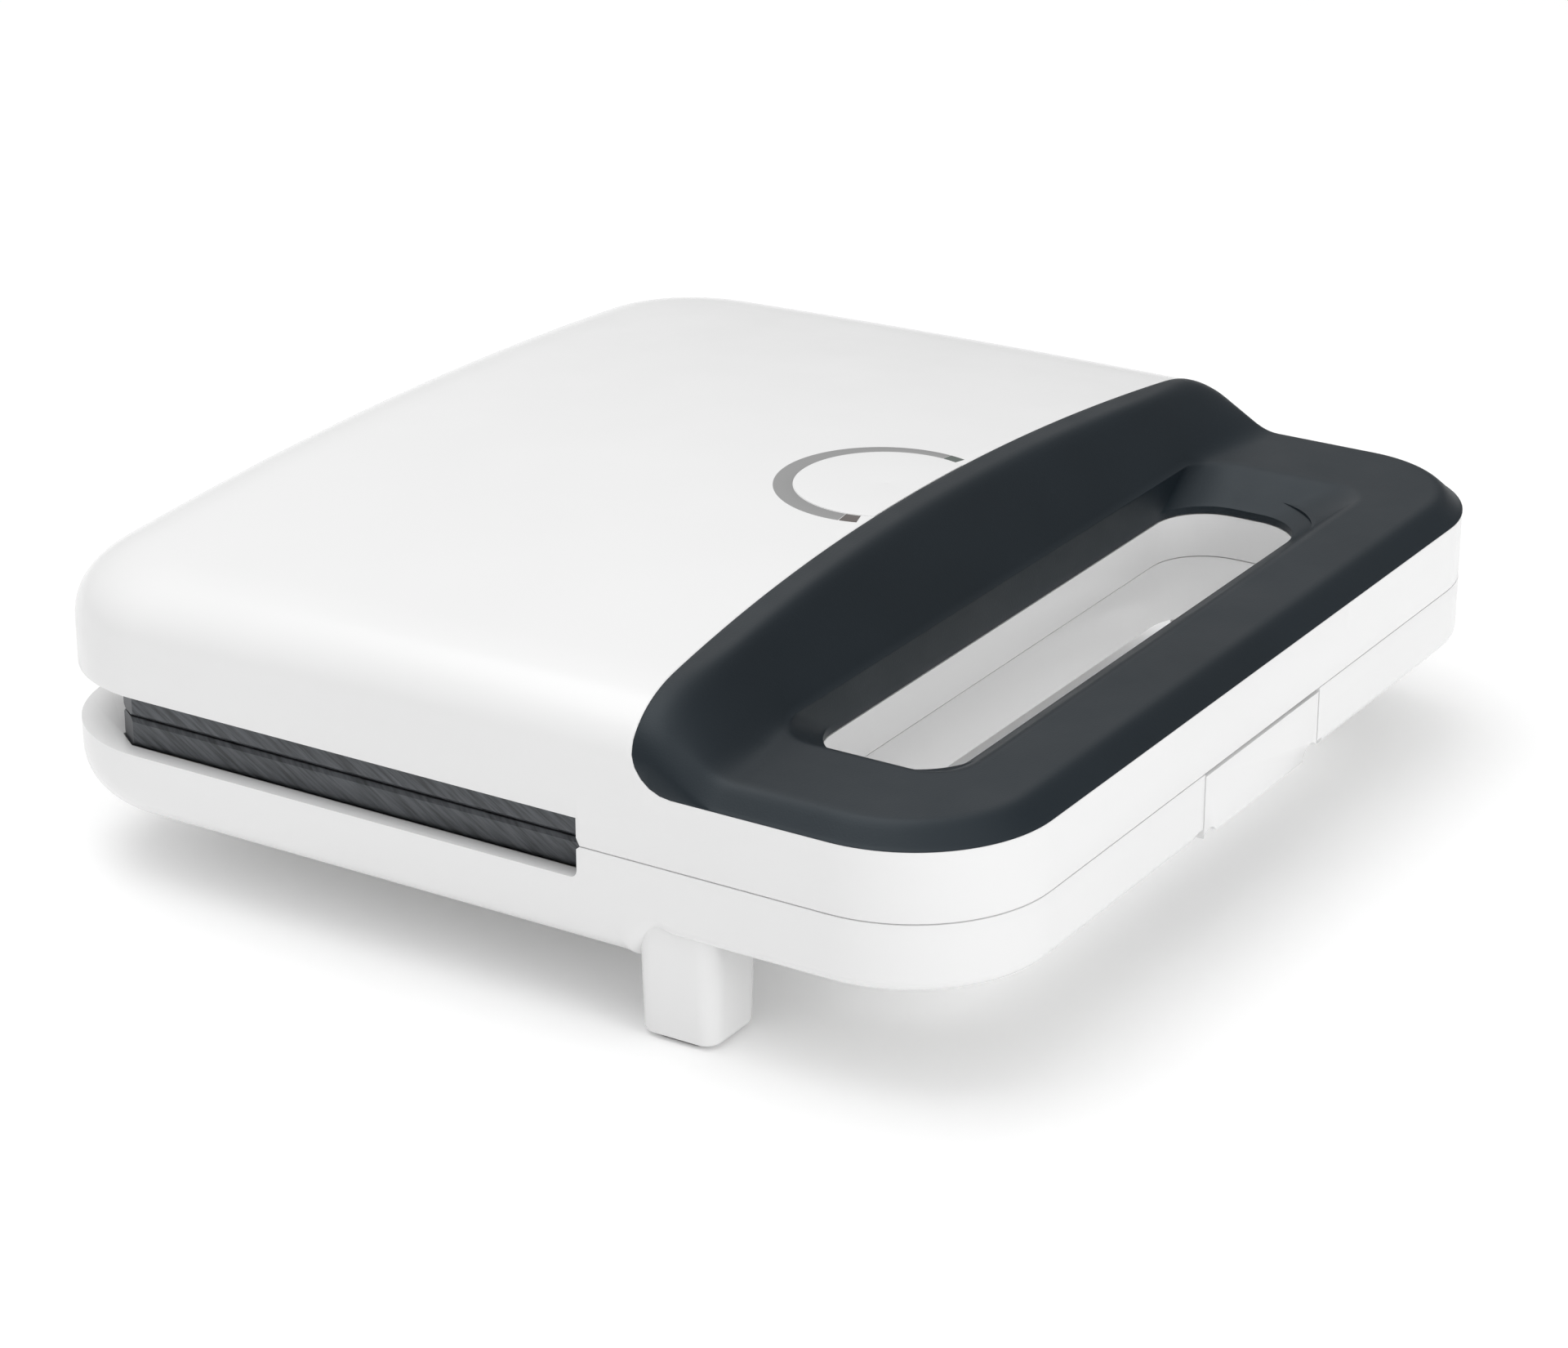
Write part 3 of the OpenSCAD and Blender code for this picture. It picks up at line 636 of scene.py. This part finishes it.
def noise(nt, scale, detail=3.0, stretch=None, rough=0.5):
    """Noise in object space, optionally stretched, as a socket."""
    co = nt.nodes.new("ShaderNodeTexCoord")
    src = co.outputs["Object"]
    if stretch:
        mp = nt.nodes.new("ShaderNodeMapping")
        mp.vector_type = "TEXTURE"
        mp.inputs["Scale"].default_value = stretch[0]
        mp.inputs["Rotation"].default_value = stretch[1]
        nt.links.new(src, mp.inputs["Vector"])
        src = mp.outputs["Vector"]
    no = nt.nodes.new("ShaderNodeTexNoise")
    no.inputs["Scale"].default_value = scale
    no.inputs["Detail"].default_value = detail
    no.inputs["Roughness"].default_value = rough
    nt.links.new(src, no.inputs["Vector"])
    return no.outputs["Fac"]


def ramp(nt, fac, lo, hi, p0=0.35, p1=0.65):
    """A two colour ramp driven by a value."""
    cr = nt.nodes.new("ShaderNodeValToRGB")
    cr.color_ramp.elements[0].position, cr.color_ramp.elements[0].color = p0, lo
    cr.color_ramp.elements[1].position, cr.color_ramp.elements[1].color = p1, hi
    nt.links.new(fac, cr.inputs["Fac"])
    return cr.outputs["Color"]


def spread(nt, fac, lo, hi):
    """Maps a noise value onto a range of roughness."""
    mr = nt.nodes.new("ShaderNodeMapRange")
    mr.inputs["From Min"].default_value, mr.inputs["From Max"].default_value = 0.3, 0.7
    mr.inputs["To Min"].default_value, mr.inputs["To Max"].default_value = lo, hi
    nt.links.new(fac, mr.inputs["Value"])
    return mr.outputs["Result"]


def bump(nt, bsdf, fac, strength, distance):
    b = nt.nodes.new("ShaderNodeBump")
    b.inputs["Strength"].default_value = strength
    b.inputs["Distance"].default_value = distance
    nt.links.new(fac, b.inputs["Height"])
    nt.links.new(b.outputs["Normal"], bsdf.inputs["Normal"])


def plastic(name, col, r0, r1, grain=900.0, depth=0.00002, strength=0.12, vary=0.03):
    """Moulded plastic: slight colour drift, roughness drift, fine grain."""
    m, nt, b = new_mat(name)
    lo = [c * (1 - vary) for c in col] + [1]
    hi = [min(1, c * (1 + vary)) for c in col] + [1]
    nt.links.new(ramp(nt, noise(nt, 14.0, 2.0), lo, hi), b.inputs["Base Color"])
    nt.links.new(spread(nt, noise(nt, 60.0, 4.0), r0, r1), b.inputs["Roughness"])
    bump(nt, b, noise(nt, grain, 2.0), strength, depth)
    return m


def metal(name, col, r0, r1, stretch, scale=60.0, metallic=1.0,
          depth=0.00003, strength=0.3, contrast=0.25):
    """Brushed or rolled metal with directional streaks."""
    m, nt, b = new_mat(name)
    b.inputs["Metallic"].default_value = metallic
    streak = noise(nt, scale, 4.0, stretch, 0.6)
    lo = [c * (1 - contrast) for c in col] + [1]
    hi = [min(1, c * (1 + contrast)) for c in col] + [1]
    nt.links.new(ramp(nt, streak, lo, hi), b.inputs["Base Color"])
    nt.links.new(spread(nt, streak, r0, r1), b.inputs["Roughness"])
    bump(nt, b, streak, strength, depth)
    return m


def materials():
    """Every finish, by the record's slot name."""
    out = {}
    gloss_white = (0.82, 0.82, 0.82)
    out["white_shell"] = plastic("white_shell", gloss_white, 0.2, 0.27, 700.0, 0.00001, 0.06, 0.008)
    out["white_cover"] = plastic("white_cover", (0.78, 0.78, 0.77), 0.34, 0.44, 900.0, 0.00002, 0.1, 0.01)
    out["white_disc"] = plastic("white_disc", gloss_white, 0.2, 0.27, 700.0, 0.00001, 0.06, 0.008)
    out["charcoal_bezel"] = plastic("charcoal_bezel", (0.0075, 0.012, 0.0165), 0.4, 0.48,
                                    2600.0, 0.00006, 0.35, 0.12)
    shine = out["charcoal_bezel"].node_tree.nodes["Principled BSDF"].inputs
    shine["Specular IOR Level"].default_value = 0.36
    shine["Specular Tint"].default_value = (0.87, 0.95, 1.0, 1)
    out["grey_ring"] = plastic("grey_ring", (0.27, 0.27, 0.27), 0.3, 0.4, 1500.0, 0.00002, 0.15, 0.03)
    out["rubber_pad"] = plastic("rubber_pad", (0.05, 0.05, 0.05), 0.7, 0.85, 1200.0, 0.00005, 0.3, 0.1)
    out["black_moulding"] = plastic("black_moulding", (0.02, 0.02, 0.02), 0.45, 0.6,
                                    1500.0, 0.00004, 0.3, 0.1)
    out["ivory_block"] = plastic("ivory_block", (0.62, 0.56, 0.42), 0.4, 0.5, 1000.0, 0.00003, 0.2, 0.04)
    out["wire_sleeve"] = plastic("wire_sleeve", (0.2, 0.09, 0.04), 0.5, 0.65, 1400.0, 0.00004, 0.3, 0.1)
    out["insulator"] = plastic("insulator", (0.55, 0.48, 0.36), 0.6, 0.75, 1600.0, 0.00005, 0.3, 0.08)
    out["red_lens"] = plastic("red_lens", (0.09, 0.075, 0.07), 0.12, 0.2, 500.0, 0.00001, 0.05, 0.05)
    out["green_lens"] = plastic("green_lens", (0.07, 0.09, 0.08), 0.12, 0.2, 500.0, 0.00001, 0.05, 0.05)
    diag = ((12.0, 1.0, 1.0), (0.0, 0.0, 0.6))
    out["mould_plate"] = metal("mould_plate", (0.072, 0.077, 0.084), 0.34, 0.52,
                               ((4, 16, 1), (0.55, 0.0, 0.0)), 1300.0, 0.35, 0.00008, 0.5, 0.45)
    out["heater_sheath"] = metal("heater_sheath", (0.28, 0.26, 0.25), 0.4, 0.6, diag, 900.0)
    out["zinc_steel"] = metal("zinc_steel", (0.6, 0.6, 0.61), 0.25, 0.4, diag, 1200.0)
    out["reflector"] = metal("reflector", (0.75, 0.76, 0.77), 0.2, 0.35, diag, 500.0)
    m, nt, b = new_mat("lamp_glass")
    b.inputs["Transmission Weight"].default_value = 0.8
    b.inputs["Roughness"].default_value = 0.08
    tint = ramp(nt, noise(nt, 200.0), (0.9, 0.5, 0.25, 1), (0.95, 0.65, 0.4, 1))
    nt.links.new(tint, b.inputs["Base Color"])
    out["lamp_glass"] = m
    return out


def paint(ob, mat):
    ob.data.materials.clear()
    ob.data.materials.append(mat)


# ---------------------------------------------------------------- build
MATS = materials()
SLOT_OF = {s["node"]: s["material_slot"] for s in frame["record"]["subparts"]}
for node, ob in frame["nodes"].items():
    if not ob.data.materials:
        ob.data.materials.append(MATS[SLOT_OF[node]])
    for i in range(len(ob.material_slots)):
        ob.material_slots[i].material = MATS[SLOT_OF[node]]

PIECES = [
    (build_lid, (), "lid", ["lid_shell"], "white_shell"),
    (build_bezel, (), "lid", ["handle_bezel"], "charcoal_bezel"),
    (build_base, (), "base", ["base_shell", "base_rim"], "white_shell"),
    (build_tab, (), "latch", ["latch_tab"], "white_shell"),
    (build_badge, (), "lid", ["badge_disc"], "white_disc"),
    (build_ring, (), "lid", ["indicator_ring"], "grey_ring"),
    (build_lens, ("lens_power", -1), "lid", ["power_lens"], "red_lens"),
    (build_lens, ("lens_ready", 1), "lid", ["ready_lens"], "green_lens"),
]
for maker, args, body, nodes, slot in PIECES:
    piece = maker(*args)
    paint(piece, MATS[slot])
    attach(piece, body)
    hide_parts(*nodes)


# ---------------------------------------------------------------- stage
def build_floor():
    """Large flat pale floor."""
    rows = []
    for y in (-6, -2, 0, 2, 6):
        rows.append([(x, y, 0) for x in (-6, -2, 0, 2, 6)])
    v = np.array(rows).reshape(-1, 3) / MM
    v[:, 2] = -0.02
    f = [(r * 5 + c, r * 5 + c + 1, (r + 1) * 5 + c + 1, (r + 1) * 5 + c)
         for r in range(4) for c in range(4)]
    me = bpy.data.meshes.new("floor")
    me.from_pydata([tuple(p) for p in v * MM], [], f)
    ob = bpy.data.objects.new("floor", me)
    bpy.context.scene.collection.objects.link(ob)
    m, nt, b = new_mat("floor_white")
    b.inputs["Roughness"].default_value = 0.7
    b.inputs["Specular IOR Level"].default_value = 0.15
    b.inputs["Emission Color"].default_value = (1, 1, 1, 1)
    b.inputs["Emission Strength"].default_value = 0.09
    tint = ramp(nt, noise(nt, 3.0), (0.92, 0.92, 0.92, 1), (0.94, 0.94, 0.94, 1))
    nt.links.new(tint, b.inputs["Base Color"])
    me.materials.append(m)


def area(name, loc, target, size, energy, color=(1, 1, 1)):
    li = bpy.data.lights.new(name, "AREA")
    li.shape, li.size, li.size_y, li.energy, li.color = "RECTANGLE", size[0], size[1], energy, color
    ob = bpy.data.objects.new(name, li)
    bpy.context.scene.collection.objects.link(ob)
    ob.location = loc
    ob.rotation_euler = (Vector(target) - Vector(loc)).to_track_quat("-Z", "Y").to_euler()
    return ob


def build_world():
    """Bright surround: brighter overhead, dimmer to the right front and left rear."""
    world = bpy.data.worlds.new("studio")
    bpy.context.scene.world = world
    world.use_nodes = True
    nt = world.node_tree
    new, link = nt.nodes.new, nt.links.new
    co = new("ShaderNodeTexCoord")
    glow = None
    gradients = (((0, 0, 1), 0.1, 0.9, 0.66, 1.05),
                 ((0.86, -0.5, -0.1), 0.2, 0.75, 1.0, 0.3),
                 ((-0.85, 0.5, -0.1), 0.1, 0.8, 1.0, 0.72))
    for axis, lo, hi, dark, light in gradients:
        dot = new("ShaderNodeVectorMath")
        dot.operation = "DOT_PRODUCT"
        dot.inputs[1].default_value = axis
        link(co.outputs["Generated"], dot.inputs[0])
        mr = new("ShaderNodeMapRange")
        mr.interpolation_type = "SMOOTHSTEP"
        for key, val in zip(("From Min", "From Max", "To Min", "To Max"), (lo, hi, dark, light)):
            mr.inputs[key].default_value = val
        link(dot.outputs["Value"], mr.inputs["Value"])
        if glow is None:
            glow = mr.outputs["Result"]
        else:
            mul = new("ShaderNodeMath")
            mul.operation = "MULTIPLY"
            link(glow, mul.inputs[0])
            link(mr.outputs["Result"], mul.inputs[1])
            glow = mul.outputs["Value"]
    bg = nt.nodes["Background"]
    bg.inputs["Color"].default_value = (1.0, 1.0, 1.0, 1)
    link(glow, bg.inputs["Strength"])


def build_light():
    """Large soft panels: overhead to the rear, and in front."""
    build_world()
    area("overhead", (-0.1, 0.35, 1.4), (0, 0, 0), (1.4, 1.0), 6.2)
    area("front", (-0.3, -1.75, 0.6), (0, 0, 0.05), (1.0, 0.6), 8.0)
    bpy.context.scene.view_settings.view_transform = "Standard"


def build_camera():
    """Three-quarter view from the front left, long lens."""
    cam = bpy.data.cameras.new("cam")
    ob = bpy.data.objects.new("cam", cam)
    bpy.context.scene.collection.objects.link(ob)
    az, el = math.radians(-57.913), math.radians(22.730)
    back = Vector((math.sin(az) * math.cos(el), -math.cos(az) * math.cos(el), math.sin(el)))
    right = Vector((math.cos(az), math.sin(az), 0))
    up = back.cross(right)
    ob.matrix_world = Matrix((
        (right.x, up.x, back.x, -0.7106),
        (right.y, up.y, back.y, -0.4454),
        (right.z, up.z, back.z, 0.3746),
        (0, 0, 0, 1)))
    cam.sensor_width = 36.0
    cam.lens = 100.44
    cam.clip_start, cam.clip_end = 0.01, 50
    bpy.context.scene.camera = ob


build_floor()
build_light()
build_camera()
